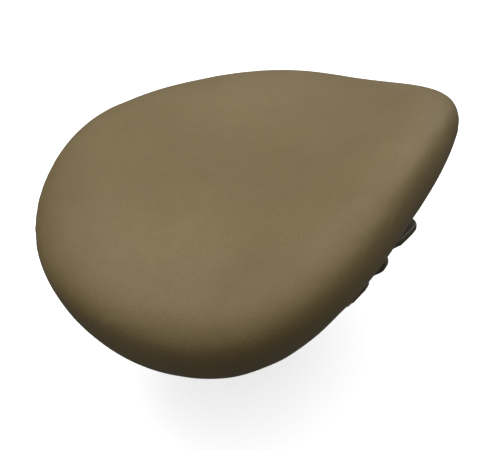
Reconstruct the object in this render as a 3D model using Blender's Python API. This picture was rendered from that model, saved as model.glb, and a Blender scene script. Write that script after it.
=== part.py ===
"""Contoured head cradle cushion on a double-jointed bracket.

A seamless covered foam pad sits on a moulded backing pan. A steel bracket under the pan
tilts on an upper axle, which a cam lever clamps. A link joins it to a clamp block that
slides on a flat chair bar, and a knob presses a gib against the bar's edge.

Frame: metres, +Z up, +X to the pad's right, -Y at its neck edge. The origin is the middle
of the bar slot's roof, which is the face that rests on the bar.
"""
from math import atan2, cos, hypot, pi, sin, tan, tau

import bmesh
import bpy
from mathutils import Matrix, Vector

# ---- pad: overall sizes ----
PAD_WIDTH = 0.280
PAD_NECK = 0.0933            # centre to the neck edge
PAD_CROWN = 0.1242           # centre to the crown edge
PAD_TOP = 0.0469             # padding above the pad's mid surface
PAD_BELOW = 0.0388           # padding below it
NECK_RISE = 0.0575          # how far the neck edge turns up
NECK_RISE_START = 0.0351    # the neck's rise begins this far behind the centre
CROWN_RISE = 0.0280
SIDE_RISE = 0.0209

# ---- pad: how full each curve is ----
NECK_FULLNESS = 2.93
CROWN_FULLNESS = 2.03
NECK_RISE_POWER = 3.11
CROWN_RISE_POWER = 2.23
SIDE_RISE_POWER = 3.5
SIDE_RISE_LEAN = 0.377
TOP_LEAN = -0.083
TOP_SIDE_THIN = -0.066
BELOW_LEAN = 0.415
TOP_EDGE_POWER = 3.76
TOP_EDGE_ROUND = 1.81
BELOW_EDGE_POWER = 5.4
BELOW_EDGE_ROUND = 1.27
EDGE_FOLLOW = 0.957         # share of the rise that the edge and underside follow

# ---- skin, foam and pan ----
COVER_THICKNESS = 0.0015
LIP_SHARE = 0.76            # the cover turns in to this share of the outline
TUCK_COVERS = 0.8           # the turned-in edge covers this share of the pan's rim
PAN_LIFT = 0.0110           # pan above the pad's lowest surface
SEAT_SPARE = 0.00049        # the flat seat stands this far out of the curved pan
PAN_THICKNESS = 0.003
FOAM_CORNER_LIFT = 0.0036   # foam above the skin at the tuck
FOAM_CLEARANCE = 0.0022     # foam above the pan
BEAD_WIDTH = 0.0035
BEAD_PROUD = 0.0006         # bead below the pan's face
VENT_BARREL = 0.0035
VENT_FLANGE = 0.0065
GAP = 0.0003

# ---- mesh fineness of the pad ----
PAD_SIDES = 52
TOP_RINGS = 10
LIP_RINGS = 5
PAN_RINGS = 8
ROUND_SIDES = 24

# ---- bracket ----
PLATE_WIDTH = 0.086
PLATE_LENGTH = 0.054
PLATE_THICKNESS = 0.004
EAR_THICKNESS = 0.006
EAR_GAP_WIDTH = 0.020       # clear space between the ears
EAR_EDGE_GAP = 0.002        # ear's top edge below the pan
EYE_RADIUS = 0.0078
NOSE_REACH = 0.007           # ear's nose in front of its eye
CAM_NOSE_RADIUS = 0.0075     # nose of the ear that the cam draws on
PLAIN_NOSE_RADIUS = 0.0058
GUSSET_DEPTH = 0.0042
GUSSET_REAR = 0.008          # gusset's end in from the plate's rear edge
SCREW_SPACING_X = 0.064
SCREW_SPACING_Y = 0.038
SCREW_RADIUS = 0.003
SCREW_HEAD_RADIUS = 0.0055
SCREW_HEAD_HEIGHT = 0.0033
T_NUT_BARREL = 0.0043
T_NUT_FLANGE = 0.0095
T_NUT_FLANGE_THICKNESS = 0.0014
T_NUT_LENGTH = 0.009

# ---- pivots ----
AXLE_RADIUS = 0.004
AXLE_HEAD_RADIUS = 0.0066
AXLE_HEAD_LENGTH = 0.005
NUT_RADIUS = 0.0074
NUT_HEIGHT = 0.0062
BUSH_WALL = 0.0014
WASHER_RADIUS = 0.0074
WASHER_THICKNESS = 0.0014
DISC_SPRING_THICKNESS = 0.0009
NECK_SETBACK = 0.0383       # upper axle behind the neck edge
UPPER_AXLE_CLEARANCE = 0.0012
AXLE_FROM_RIM = 0.060892     # lower axle in from the pan's crown rim, pad level
LINK_WEB_HALF = 0.0045
BUMPER_RADIUS = 0.0048
BUMPER_GAP = 0.0006         # between the rest pose's link and the bumper
LINK_POCKET_DEPTH = 0.0045

# ---- cam lever ----
CAM_WASHER_THICKNESS = 0.003
CAM_WASHER_GAP = 0.0034
CAM_RADIUS = 0.0053
CAM_THROW = 0.00083
LEVER_REACH = 0.0315         # barrel pin to the middle of the blade's round end
LEVER_CRANK = 0.0074         # how far the blade stands towards the neck edge
LEVER_NECK_HALF = 0.0042
LEVER_BLADE_HALF = 0.0078
LEVER_BLADE_THICKNESS = 0.0046
LEVER_HEAD_HEIGHT = 0.0106
BARREL_RADIUS = 0.0018
AXLE_EYE_RADIUS = 0.0036
AXLE_EYE_HEIGHT = 0.0050
ROD_TIP_RADIUS = 0.0022      # the draw rod, thinned where the lever's fork turns past it
FORK_FROM = -20.0           # degrees the lever opens past rest
FORK_TO = 75.0              # degrees it closes past rest

# ---- clamp block, gib and knob ----
BAR_WIDTH = 0.032
BAR_THICKNESS = 0.006
BAR_CLEARANCE = 0.0005
BLOCK_LENGTH = 0.050
BLOCK_ROOF = 0.0055
BLOCK_FLOOR = 0.006
BLOCK_WALL = 0.0065
LOWER_AXLE_OFFSET = 0.007   # lower axle in front of the block's middle
GIB_THICKNESS = 0.005
GIB_LENGTH = 0.040
GIB_TRAVEL = 0.00125
GIB_RELIEF = 0.0004          # slot's roof above the gib, higher than over the bar
SOCKET_DEPTH = 0.0022
CLAMP_SCREW_RADIUS = 0.0027
INSERT_WALL = 0.0011
KNOB_RADIUS = 0.014
KNOB_LOBES = 6
KNOB_LOBE_DEPTH = 0.0017
KNOB_THICKNESS = 0.013
KNOB_STANDOFF = 0.0030
CAP_RADIUS = 0.006
SWING_ROOM = 0.0137         # pan's flat seat above the block's ears, less the plate

# ---- places worked out from the sizes above ----
HALF_WIDTH = PAD_WIDTH / 2
EAR_INNER = EAR_GAP_WIDTH / 2
EAR_OUTER = EAR_INNER + EAR_THICKNESS
LINK_HALF = EAR_INNER - WASHER_THICKNESS - 2 * GAP
SLOT_HEIGHT = BAR_THICKNESS + 2 * BAR_CLEARANCE
LOWER_AXLE_Y = -LOWER_AXLE_OFFSET
LOWER_AXLE_Z = BLOCK_ROOF + EYE_RADIUS + 0.002
PLATE_TOP = LOWER_AXLE_Z + EYE_RADIUS + SWING_ROOM + PLATE_THICKNESS + GUSSET_DEPTH / 2
PAD_Y = LOWER_AXLE_Y + AXLE_FROM_RIM - LIP_SHARE * PAD_CROWN
UPPER_AXLE_Y = PAD_Y - PAD_NECK + NECK_SETBACK
PLATE_BOTTOM = PLATE_TOP - PLATE_THICKNESS
PLATE_Y = LOWER_AXLE_Y - 0.012 + PLATE_LENGTH / 2


# ---- the pad's surface ----

def signed_power(value, power):
    """value to a power, keeping its sign."""
    return (1 if value >= 0 else -1) * abs(value) ** power


def outline_point(angle):
    """A point of the pad's outline seen from above, about the pad's centre."""
    at_neck = sin(angle) < 0
    fullness = NECK_FULLNESS if at_neck else CROWN_FULLNESS
    reach = PAD_NECK if at_neck else PAD_CROWN
    x = HALF_WIDTH * signed_power(cos(angle), 2 / fullness)
    y = reach * signed_power(sin(angle), 2 / fullness)
    return x, y


def rise(x, y):
    """Height of the pad's mid surface: turned up at the neck, crown and sides."""
    neck = max(0.0, NECK_RISE_START - y) / (NECK_RISE_START + PAD_NECK)
    crown = max(0.0, y) / PAD_CROWN
    side = abs(x) / HALF_WIDTH
    lean = 1 + SIDE_RISE_LEAN * y / HALF_WIDTH
    return (NECK_RISE * neck ** NECK_RISE_POWER
            + CROWN_RISE * crown ** CROWN_RISE_POWER
            + SIDE_RISE * side ** SIDE_RISE_POWER * lean)


def top_height(x, y, share):
    """Top of the pad, where share is 0 at the middle and 1 at the outline."""
    edge = max(0.0, 1 - share ** TOP_EDGE_POWER) ** (1 / TOP_EDGE_ROUND)
    lean = 1 + TOP_LEAN * y / HALF_WIDTH + TOP_SIDE_THIN * (x / HALF_WIDTH) ** 2
    height = rise(x, y)
    return EDGE_FOLLOW * height + ((1 - EDGE_FOLLOW) * height + PAD_TOP * lean) * edge


def under_height(x, y, share):
    """Underside of the pad's rolled edge."""
    edge = max(0.0, 1 - share ** BELOW_EDGE_POWER) ** (1 / BELOW_EDGE_ROUND)
    lean = 1 + BELOW_LEAN * y / HALF_WIDTH
    return EDGE_FOLLOW * rise(x, y) - PAD_BELOW * lean * edge


def screw_places():
    """Name and place of each bracket screw."""
    places = []
    for number, (side, end) in enumerate(((-1, -1), (1, -1), (-1, 1), (1, 1)), start=1):
        places.append((str(number), side * SCREW_SPACING_X / 2, PLATE_Y + end * SCREW_SPACING_Y / 2))
    return places


def curved_pan_height(x, y):
    """Lower face of the backing pan before its flat seat is pressed in."""
    lean = 1 + BELOW_LEAN * y / HALF_WIDTH
    return EDGE_FOLLOW * rise(x, y) - PAD_BELOW * lean + PAN_LIFT


def seat_depth():
    """Depth of the pan's flat seat, which stands out of the curve all round every nut."""
    steps = 24
    highest = -PAD_BELOW
    for name, x, y in screw_places():
        for step in range(steps):
            angle = tau * step / steps
            across = x + T_NUT_FLANGE * cos(angle)
            along = y - PAD_Y + T_NUT_FLANGE * sin(angle)
            highest = max(highest, curved_pan_height(across, along))
    return -highest - SEAT_SPARE


PAN_FLAT_DEPTH = seat_depth()
PAD_Z = PLATE_TOP + GAP + PAN_FLAT_DEPTH


def pan_height(x, y):
    """Lower face of the backing pan, with a flat seat for the bracket's plate."""
    return max(curved_pan_height(x, y), -PAN_FLAT_DEPTH)


def pad_ring(share, height):
    """One ring of points at a share of the outline; height is a function of x, y."""
    ring = []
    for step in range(PAD_SIDES):
        x, y = outline_point(tau * step / PAD_SIDES)
        x, y = x * share, y * share
        ring.append(Vector((x, y + PAD_Y, height(x, y) + PAD_Z)))
    return ring


def inset_ring(ring, distance):
    """A ring moved in towards the pad's centre."""
    moved = []
    for point in ring:
        inward = Vector((-point.x, PAD_Y - point.y, 0)).normalized()
        moved.append(point + inward * distance)
    return moved


def skin_rings():
    """Rings of the covered surface: over the top, round the edge and up the tuck."""
    rings = []
    for step in range(1, TOP_RINGS + 1):
        share = sin(step / TOP_RINGS * pi / 2)
        rings.append(pad_ring(share, lambda x, y, s=share: top_height(x, y, s)))
    for step in range(1, LIP_RINGS + 1):
        share = 1 - (1 - LIP_SHARE) * (step / LIP_RINGS) ** 1.6
        rings.append(pad_ring(share, lambda x, y, s=share: under_height(x, y, s)))
    rings.append(pad_ring(LIP_SHARE, lambda x, y: pan_height(x, y) + TUCK_COVERS * PAN_THICKNESS))
    return rings


def pan_rings(inset, height_offset):
    """Rings of the pan's face from its rim to near its middle."""
    rim = pad_ring(LIP_SHARE, lambda x, y: 0.0)
    rings = []
    for step in range(PAN_RINGS):
        share = 1 - step / PAN_RINGS
        ring = []
        for point in inset_ring(rim, inset):
            x, y = point.x * share, (point.y - PAD_Y) * share
            ring.append(Vector((x, y + PAD_Y, pan_height(x, y) + PAD_Z + height_offset)))
        rings.append(ring)
    return rings


# ---- mesh helpers ----

def material(name, colour, roughness, metallic=0.0):
    """A plain Principled material, made once."""
    made = bpy.data.materials.get(name)
    if made:
        return made
    made = bpy.data.materials.new(name)
    made.use_nodes = True
    shader = made.node_tree.nodes["Principled BSDF"]
    shader.inputs["Base Color"].default_value = (*colour, 1)
    shader.inputs["Roughness"].default_value = roughness
    shader.inputs["Metallic"].default_value = metallic
    made.diffuse_color = (*colour, 1)
    return made


def skin():
    return material("skin_taupe", (0.19, 0.155, 0.085), 0.55)


def foam():
    return material("foam", (0.72, 0.66, 0.45), 0.9)


def black_plastic():
    return material("black_plastic", (0.03, 0.03, 0.028), 0.45)


def dark_plastic():
    return material("dark_plastic", (0.055, 0.045, 0.02), 0.4)


def painted_steel():
    return material("painted_steel", (0.13, 0.12, 0.095), 0.4, 0.3)


def zinc():
    return material("zinc", (0.55, 0.55, 0.53), 0.35, 1.0)


def cast_aluminium():
    return material("cast_aluminium", (0.45, 0.45, 0.44), 0.45, 1.0)


def brass():
    return material("brass", (0.6, 0.42, 0.16), 0.35, 1.0)


def nylon():
    return material("nylon", (0.75, 0.73, 0.66), 0.5)


def rubber():
    return material("rubber", (0.02, 0.02, 0.02), 0.8)


def finish(name, shape, look, smooth_angle=0.6):
    """Turn a bmesh into a named object with its material."""
    bmesh.ops.recalc_face_normals(shape, faces=shape.faces)
    mesh = bpy.data.meshes.new(name)
    shape.to_mesh(mesh)
    shape.free()
    mesh.materials.append(look)
    mesh.shade_smooth()
    mesh.set_sharp_from_angle(angle=smooth_angle)
    made = bpy.data.objects.new(name, mesh)
    bpy.context.scene.collection.objects.link(made)
    return made


def place(made, matrix):
    """Move an object's mesh, then keep its origin where the matrix puts it."""
    made.matrix_world = matrix
    return made


def bridge(shape, first, second):
    """Quads between two rings of vertices."""
    count = len(first)
    for step in range(count):
        after = (step + 1) % count
        shape.faces.new((first[step], first[after], second[after], second[step]))


def fan(shape, ring, point):
    """Triangles from a ring to one point."""
    pole = shape.verts.new(point)
    count = len(ring)
    for step in range(count):
        shape.faces.new((ring[step], ring[(step + 1) % count], pole))


def ring_shell(rings, first_pole=None, last_pole=None, closed=False):
    """A bmesh of stacked rings, closed by poles or back on itself."""
    shape = bmesh.new()
    loops = [[shape.verts.new(point) for point in ring] for ring in rings]
    for first, second in zip(loops, loops[1:]):
        bridge(shape, first, second)
    if closed:
        bridge(shape, loops[-1], loops[0])
    if first_pole is not None:
        fan(shape, loops[0], first_pole)
    if last_pole is not None:
        fan(shape, loops[-1], last_pole)
    return shape


def circle(radius, height, sides):
    """A ring of points about Z."""
    return [Vector((radius * cos(tau * step / sides), radius * sin(tau * step / sides), height))
            for step in range(sides)]


def turned(name, profile, look, hollow=False, sides=ROUND_SIDES):
    """A turned piece about Z from (radius, height) points; solid ones are capped."""
    rings = [circle(radius, height, sides) for radius, height in profile]
    if hollow:
        return finish(name, ring_shell(rings, closed=True), look)
    low = Vector((0, 0, profile[0][1]))
    high = Vector((0, 0, profile[-1][1]))
    return finish(name, ring_shell(rings, low, high), look)


def washer(name, inner, outer, low, high, look):
    """A flat ring about Z."""
    profile = ((inner, low), (outer, low), (outer, high), (inner, high))
    return turned(name, profile, look, hollow=True)


def extruded(name, outline, low, high, look):
    """A flat outline of (u, v) points, given thickness along Z."""
    shape = bmesh.new()
    floor = [shape.verts.new((u, v, low)) for u, v in outline]
    roof = [shape.verts.new((u, v, high)) for u, v in outline]
    bridge(shape, floor, roof)
    shape.faces.new(floor)
    shape.faces.new(roof)
    return finish(name, shape, look)


def box(name, low, high, look):
    """A block between two corners."""
    outline = ((low[0], low[1]), (high[0], low[1]), (high[0], high[1]), (low[0], high[1]))
    return extruded(name, outline, low[2], high[2], look)


def hide_tool(tool):
    """Mark a cutting or joining body so that it isn't part of the object."""
    tool.hide_render = True
    tool.display_type = "WIRE"


def boolean(made, tool, operation):
    """Cut with, or join, a tool body."""
    step = made.modifiers.new(tool.name, "BOOLEAN")
    step.operation = operation
    step.object = tool
    step.solver = "EXACT"
    hide_tool(tool)


def bevel(made, width, segments=1):
    """Break a piece's sharp edges."""
    step = made.modifiers.new("edges", "BEVEL")
    step.width = width
    step.segments = segments
    step.limit_method = "ANGLE"
    step.angle_limit = 0.7
    return made


def along_x(x, y, z):
    """Stands a piece that was made about Z on an axis along +X."""
    return Matrix.Translation((x, y, z)) @ Matrix(((0, 0, 1, 0), (1, 0, 0, 0), (0, 1, 0, 0), (0, 0, 0, 1)))


def arc_points(centre, radius, start, end, steps):
    """Points on an arc, angles in radians."""
    points = []
    for step in range(steps + 1):
        angle = start + (end - start) * step / steps
        points.append((centre[0] + radius * cos(angle), centre[1] + radius * sin(angle)))
    return points


# ---- the padded body ----

def make_cover():
    """The seamless skin, formed over the foam and turned in under its edge."""
    crest = Vector((0, PAD_Y, PAD_Z + top_height(0, 0, 0)))
    cover = finish("cover", ring_shell(skin_rings(), first_pole=crest), skin(), 1.2)
    shape = bmesh.new()
    shape.from_mesh(cover.data)
    highest = min(shape.verts, key=lambda vert: (vert.co - crest).length)
    if highest.normal.z < 0:
        bmesh.ops.reverse_faces(shape, faces=shape.faces)
    shape.to_mesh(cover.data)
    shape.free()
    wall = cover.modifiers.new("wall", "SOLIDIFY")
    wall.thickness = COVER_THICKNESS
    wall.offset = -1


def foam_rings():
    """The skin's rings, moved in by the skin's thickness and a gap."""
    shape = ring_shell(skin_rings(), first_pole=Vector((0, PAD_Y, PAD_Z + top_height(0, 0, 0))))
    bmesh.ops.recalc_face_normals(shape, faces=shape.faces)
    shape.normal_update()
    shape.verts.ensure_lookup_table()
    inward = COVER_THICKNESS + 4 * GAP
    flip = 1 if shape.verts[-1].normal.z > 0 else -1
    moved = [vert.co - vert.normal * inward * flip for vert in shape.verts]
    shape.free()
    crest = moved[-1]
    rings = [moved[start:start + PAD_SIDES] for start in range(0, len(moved) - 1, PAD_SIDES)]
    corner = []
    for start in pad_ring(LIP_SHARE, lambda x, y: 0.0):
        reach = hypot(start.x, start.y - PAD_Y)
        grow = (reach + inward) / reach
        x, y = start.x * grow, (start.y - PAD_Y) * grow
        height = under_height(x, y, LIP_SHARE * grow) + FOAM_CORNER_LIFT
        corner.append(Vector((x, y + PAD_Y, height + PAD_Z)))
    return rings[:-2] + [corner], crest


def make_foam_core():
    """The moulded foam block that fills the skin down to the pan."""
    rings, crest = foam_rings()
    inset = COVER_THICKNESS + 4 * GAP
    floor = pan_rings(-inset, PAN_THICKNESS + FOAM_CLEARANCE)
    middle = Vector((0, PAD_Y, PAD_Z + pan_height(0, 0) + PAN_THICKNESS + FOAM_CLEARANCE))
    core = finish("foam_core", ring_shell(rings + floor, crest, middle), foam(), 1.2)
    for name, x, y in screw_places():
        pocket = turned("pocket_" + name, ((T_NUT_FLANGE + 4 * GAP, PLATE_TOP - 0.001),
                                           (T_NUT_FLANGE + 4 * GAP, PLATE_TOP + T_NUT_LENGTH)), foam())
        place(pocket, Matrix.Translation((x, y, 0)))
        boolean(core, pocket, "DIFFERENCE")


def make_backing_pan():
    """The moulded pan that closes the underside and carries the bracket."""
    inset = GAP + BEAD_WIDTH + GAP
    lower = pan_rings(inset, 0.0)
    upper = pan_rings(inset, PAN_THICKNESS)
    low = Vector((0, PAD_Y, PAD_Z + pan_height(0, 0)))
    high = low + Vector((0, 0, PAN_THICKNESS))
    shape = ring_shell(lower[::-1] + upper, low, high)
    pan = finish("backing_pan", shape, black_plastic())
    for name, x, y in screw_places():
        hole = turned("pan_hole_" + name, ((T_NUT_BARREL + GAP, PLATE_TOP - 0.001),
                                           (T_NUT_BARREL + GAP, PLATE_TOP + 0.01)), zinc())
        place(hole, Matrix.Translation((x, y, 0)))
        boolean(pan, hole, "DIFFERENCE")
    vent = turned("pan_hole_vent", ((VENT_BARREL + GAP, PLATE_TOP - 0.001),
                                    (VENT_BARREL + GAP, PLATE_TOP + 0.01)), zinc())
    place(vent, vent_place())
    boolean(pan, vent, "DIFFERENCE")


def make_edge_bead():
    """The rubber bead between the pan's rim and the turned-in cover."""
    corners = ((GAP, -BEAD_PROUD), (GAP, PAN_THICKNESS), (GAP + BEAD_WIDTH, PAN_THICKNESS),
               (GAP + BEAD_WIDTH, -BEAD_PROUD))
    rings = [pan_rings(inset, height)[0] for inset, height in corners]
    finish("edge_bead", ring_shell(rings, closed=True), rubber())


def vent_place():
    """The vent sits beside the bracket's plate, in the pan's flat seat."""
    return Matrix.Translation((PLATE_WIDTH / 2 + 0.011, PLATE_Y, 0))


def make_breather_vent():
    """The snap-in plug that lets air out of the foam."""
    seat = PAD_Z - PAN_FLAT_DEPTH
    profile = ((0.0012, seat - 0.0018), (VENT_FLANGE, seat - 0.0018), (VENT_FLANGE, seat - GAP),
               (VENT_BARREL, seat - GAP), (VENT_BARREL, seat + PAN_THICKNESS), (0.0012, seat + PAN_THICKNESS))
    plug = turned("breather_vent", profile, black_plastic(), hollow=True)
    place(plug, vent_place())


# ---- bracket ----

def hang_height(y, radius):
    """Height of a round piece that hangs a clearance below the pan, wherever they come nearest."""
    steps = 12
    heights = []
    for step in range(steps + 1):
        angle = pi / 2 * step / steps
        heights.append(pan_height(0, y - PAD_Y + radius * sin(angle)) - radius * cos(angle))
    return PAD_Z + min(heights) - UPPER_AXLE_CLEARANCE


UPPER_AXLE_Z = hang_height(UPPER_AXLE_Y, EYE_RADIUS)


def ear_outline(nose_radius):
    """The ear's side view as (y, z): an eye, a nose, an edge that follows the pan, and a gusset."""
    eye = (UPPER_AXLE_Y, UPPER_AXLE_Z)
    nose_y = UPPER_AXLE_Y - NOSE_REACH
    nose = (nose_y, hang_height(nose_y, nose_radius))
    tangent = atan2(nose[1] - eye[1], nose[0] - eye[0]) + pi / 2 - tau
    plate_front = PLATE_Y - PLATE_LENGTH / 2
    start = nose_y + nose_radius * 0.85
    points = arc_points(eye, EYE_RADIUS, -0.42 * pi, tangent, 5)
    points += arc_points(nose, nose_radius, tangent, -1.62 * pi, 10)
    steps = 8
    for step in range(1, steps + 1):
        y = start + (plate_front - start) * step / steps
        points.append((y, PAD_Z + pan_height(0, y - PAD_Y) - EAR_EDGE_GAP))
    seat = PLATE_TOP - PLATE_THICKNESS / 2
    rear = PLATE_Y + PLATE_LENGTH / 2 - GUSSET_REAR
    points.append((rear, seat))
    points.append((rear, PLATE_BOTTOM - GUSSET_DEPTH * 0.4))
    points.append((plate_front + 0.006, PLATE_BOTTOM - GUSSET_DEPTH))
    points.append((plate_front - 0.014, PLATE_BOTTOM - GUSSET_DEPTH - 0.008))
    return points


def rounded_plate(half_x, half_y, corner):
    """A rectangle with round corners, as (x, y)."""
    points = []
    for quarter, (side, end) in enumerate(((1, 1), (-1, 1), (-1, -1), (1, -1))):
        centre = (side * (half_x - corner), end * (half_y - corner))
        start = quarter * pi / 2
        points += arc_points(centre, corner, start, start + pi / 2, 4)
    return points


def make_bracket():
    """The plate under the pan with two forward ears, one steel piece."""
    outline = [(x, y + PLATE_Y) for x, y in rounded_plate(PLATE_WIDTH / 2, PLATE_LENGTH / 2, 0.009)]
    bracket = extruded("bracket", outline, PLATE_BOTTOM, PLATE_TOP, painted_steel())
    for side in (-1, 1):
        low, high = sorted((side * EAR_INNER, side * EAR_OUTER))
        nose_radius = CAM_NOSE_RADIUS if side > 0 else PLAIN_NOSE_RADIUS
        ear = extruded(f"ear_{side}", ear_outline(nose_radius), low, high, painted_steel())
        place(ear, along_x(0, 0, 0))
        bevel(ear, 0.0008)
        boolean(bracket, ear, "UNION")
    bore = turned("bracket_bore", ((AXLE_RADIUS + GAP, -EAR_OUTER - 0.01),
                                   (AXLE_RADIUS + GAP, EAR_OUTER + 0.01)), zinc())
    place(bore, along_x(0, UPPER_AXLE_Y, UPPER_AXLE_Z))
    boolean(bracket, bore, "DIFFERENCE")
    for name, x, y in screw_places():
        hole = turned("plate_hole_" + name, ((SCREW_RADIUS + 2 * GAP, PLATE_BOTTOM - 0.002),
                                             (SCREW_RADIUS + 2 * GAP, PLATE_TOP + 0.002)), zinc())
        place(hole, Matrix.Translation((x, y, 0)))
        boolean(bracket, hole, "DIFFERENCE")


def make_bracket_fasteners():
    """A flanged nut on the pan and a button-head screw at each of the plate's holes."""
    seat = PAD_Z - PAN_FLAT_DEPTH
    top = seat + PAN_THICKNESS + GAP
    flange_top = top + T_NUT_FLANGE_THICKNESS
    bore = SCREW_RADIUS + GAP
    nut_profile = ((bore, seat + GAP), (T_NUT_BARREL, seat + GAP), (T_NUT_BARREL, top),
                   (T_NUT_FLANGE, top), (T_NUT_FLANGE, flange_top), (bore, flange_top))
    head_top = PLATE_BOTTOM - GAP
    head_low = head_top - SCREW_HEAD_HEIGHT
    screw_profile = ((SCREW_HEAD_RADIUS * 0.55, head_low), (SCREW_HEAD_RADIUS * 0.9, head_low + 0.0011),
                     (SCREW_HEAD_RADIUS, head_top), (SCREW_RADIUS, head_top),
                     (SCREW_RADIUS, flange_top + 0.002))
    for name, x, y in screw_places():
        nut = turned("t_nut_" + name, nut_profile, zinc(), hollow=True)
        place(nut, Matrix.Translation((x, y, 0)))
        screw = turned("bracket_screw_" + name, screw_profile, zinc())
        place(screw, Matrix.Translation((x, y, 0)))
        socket = turned("socket_" + name, ((0.0019, head_low - 0.001), (0.0019, head_low + 0.0018)),
                        zinc(), sides=6)
        place(socket, Matrix.Translation((x, y, 0)))
        boolean(screw, socket, "DIFFERENCE")


def make_stop_bumper():
    """The rubber buffer that the link meets when the pad lies at its flattest."""
    length, angle = link_frame()
    y = PLATE_Y - PLATE_LENGTH / 2 + BUMPER_RADIUS
    along = LOWER_AXLE_Y - y + BUMPER_RADIUS
    link_top = LOWER_AXLE_Z + along * tan(-angle) + EYE_RADIUS / cos(angle) * 0.8
    low = link_top + BUMPER_GAP
    top = PLATE_BOTTOM - GAP
    soft = 0.0012
    profile = ((BUMPER_RADIUS - soft, low), (BUMPER_RADIUS, low + soft), (BUMPER_RADIUS, top))
    bumper = turned("stop_bumper", profile, rubber())
    place(bumper, Matrix.Translation((0, y, 0)))


# ---- pivots ----

def barrel_x():
    """The cam lever's pin stands a cam radius outside the cam washer."""
    return EAR_OUTER + CAM_WASHER_GAP + CAM_WASHER_THICKNESS + GAP + CAM_RADIUS


def make_upper_axle():
    """The draw rod: a round head at one end and an eye for the cam lever's pin."""
    head = -EAR_OUTER - GAP
    end = head - AXLE_HEAD_LENGTH
    profile = ((AXLE_HEAD_RADIUS * 0.8, end), (AXLE_HEAD_RADIUS, end + 0.001),
               (AXLE_HEAD_RADIUS, head), (AXLE_RADIUS, head), (AXLE_RADIUS, barrel_x() - 0.0070),
               (ROD_TIP_RADIUS, barrel_x() - 0.0064), (ROD_TIP_RADIUS, barrel_x()))
    axle = turned("upper_axle", profile, zinc())
    place(axle, along_x(0, UPPER_AXLE_Y, UPPER_AXLE_Z))
    half = AXLE_EYE_HEIGHT / 2
    eye = turned("axle_eye", ((AXLE_EYE_RADIUS, -half), (AXLE_EYE_RADIUS, half)), zinc())
    bore = turned("axle_eye_bore", ((BARREL_RADIUS + GAP, -0.01), (BARREL_RADIUS + GAP, 0.01)), zinc())
    for tool, operation in ((eye, "UNION"), (bore, "DIFFERENCE")):
        place(tool, Matrix.Translation((barrel_x(), UPPER_AXLE_Y, UPPER_AXLE_Z)))
        boolean(axle, tool, operation)


def make_friction_washers(prefix, y, z):
    """The two washers that rub between a link's eye and the ears beside it."""
    for number, side in ((1, -1), (2, 1)):
        middle = side * (LINK_HALF + GAP + WASHER_THICKNESS / 2)
        ring = washer(f"{prefix}_washer_{number}", AXLE_RADIUS + GAP, WASHER_RADIUS,
                      -WASHER_THICKNESS / 2, WASHER_THICKNESS / 2, nylon())
        place(ring, along_x(middle, y, z))


def make_wave_spring():
    """The waved ring that keeps the cam washer off the ear."""
    inner = AXLE_RADIUS + 2 * GAP
    outer = WASHER_RADIUS - 2 * GAP
    middle = EAR_OUTER + 0.00135
    swell = 0.0005
    half = 0.00035
    sides = 30
    rings = []
    for radius, side in ((inner, -1), (outer, -1), (outer, 1), (inner, 1)):
        ring = []
        for step in range(sides):
            angle = tau * step / sides
            height = side * half + swell * sin(3 * angle)
            ring.append(Vector((radius * cos(angle), radius * sin(angle), height)))
        rings.append(ring)
    spring = finish("wave_spring", ring_shell(rings, closed=True), zinc())
    place(spring, along_x(middle, UPPER_AXLE_Y, UPPER_AXLE_Z))


def make_cam_washer():
    """The thick washer that the cam pushes towards the ear."""
    low = EAR_OUTER + CAM_WASHER_GAP
    high = low + CAM_WASHER_THICKNESS
    inner = AXLE_RADIUS + GAP
    rim = WASHER_RADIUS
    soft = 0.0009
    depth = high - low
    profile = ((inner, 0), (rim - soft, 0), (rim, soft), (rim, depth - soft), (rim - soft, depth),
               (inner, depth))
    ring = turned("cam_washer", profile, black_plastic(), hollow=True)
    place(ring, along_x(low, UPPER_AXLE_Y, UPPER_AXLE_Z))


def lever_blade():
    """The lever's plan: an arm that cranks towards the neck edge and widens to a round end."""
    middle = ((0.0, 0.0, LEVER_NECK_HALF),
              (0.25 * LEVER_REACH, 0.47 * LEVER_CRANK, 1.15 * LEVER_NECK_HALF),
              (0.51 * LEVER_REACH, 0.89 * LEVER_CRANK, 0.80 * LEVER_BLADE_HALF),
              (0.87 * LEVER_REACH, 0.97 * LEVER_CRANK, 0.97 * LEVER_BLADE_HALF),
              (LEVER_REACH, LEVER_CRANK, LEVER_BLADE_HALF))
    near, far = [], []
    for place_before, here, place_after in zip(middle[:1] + middle, middle, middle[1:] + middle[-1:]):
        along = Vector((place_after[0] - place_before[0], place_before[1] - place_after[1])).normalized()
        near.append((here[0] + along.y * here[2], -here[1] - along.x * here[2]))
        far.append((here[0] - along.y * here[2], -here[1] + along.x * here[2]))
    heading = atan2(middle[-2][1] - middle[-1][1], middle[-1][0] - middle[-2][0])
    end = (LEVER_REACH, -LEVER_CRANK)
    tip = arc_points(end, LEVER_BLADE_HALF, heading - 0.44 * pi, heading + 0.44 * pi, 12)
    return near[:-1] + tip + far[-2::-1]


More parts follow.
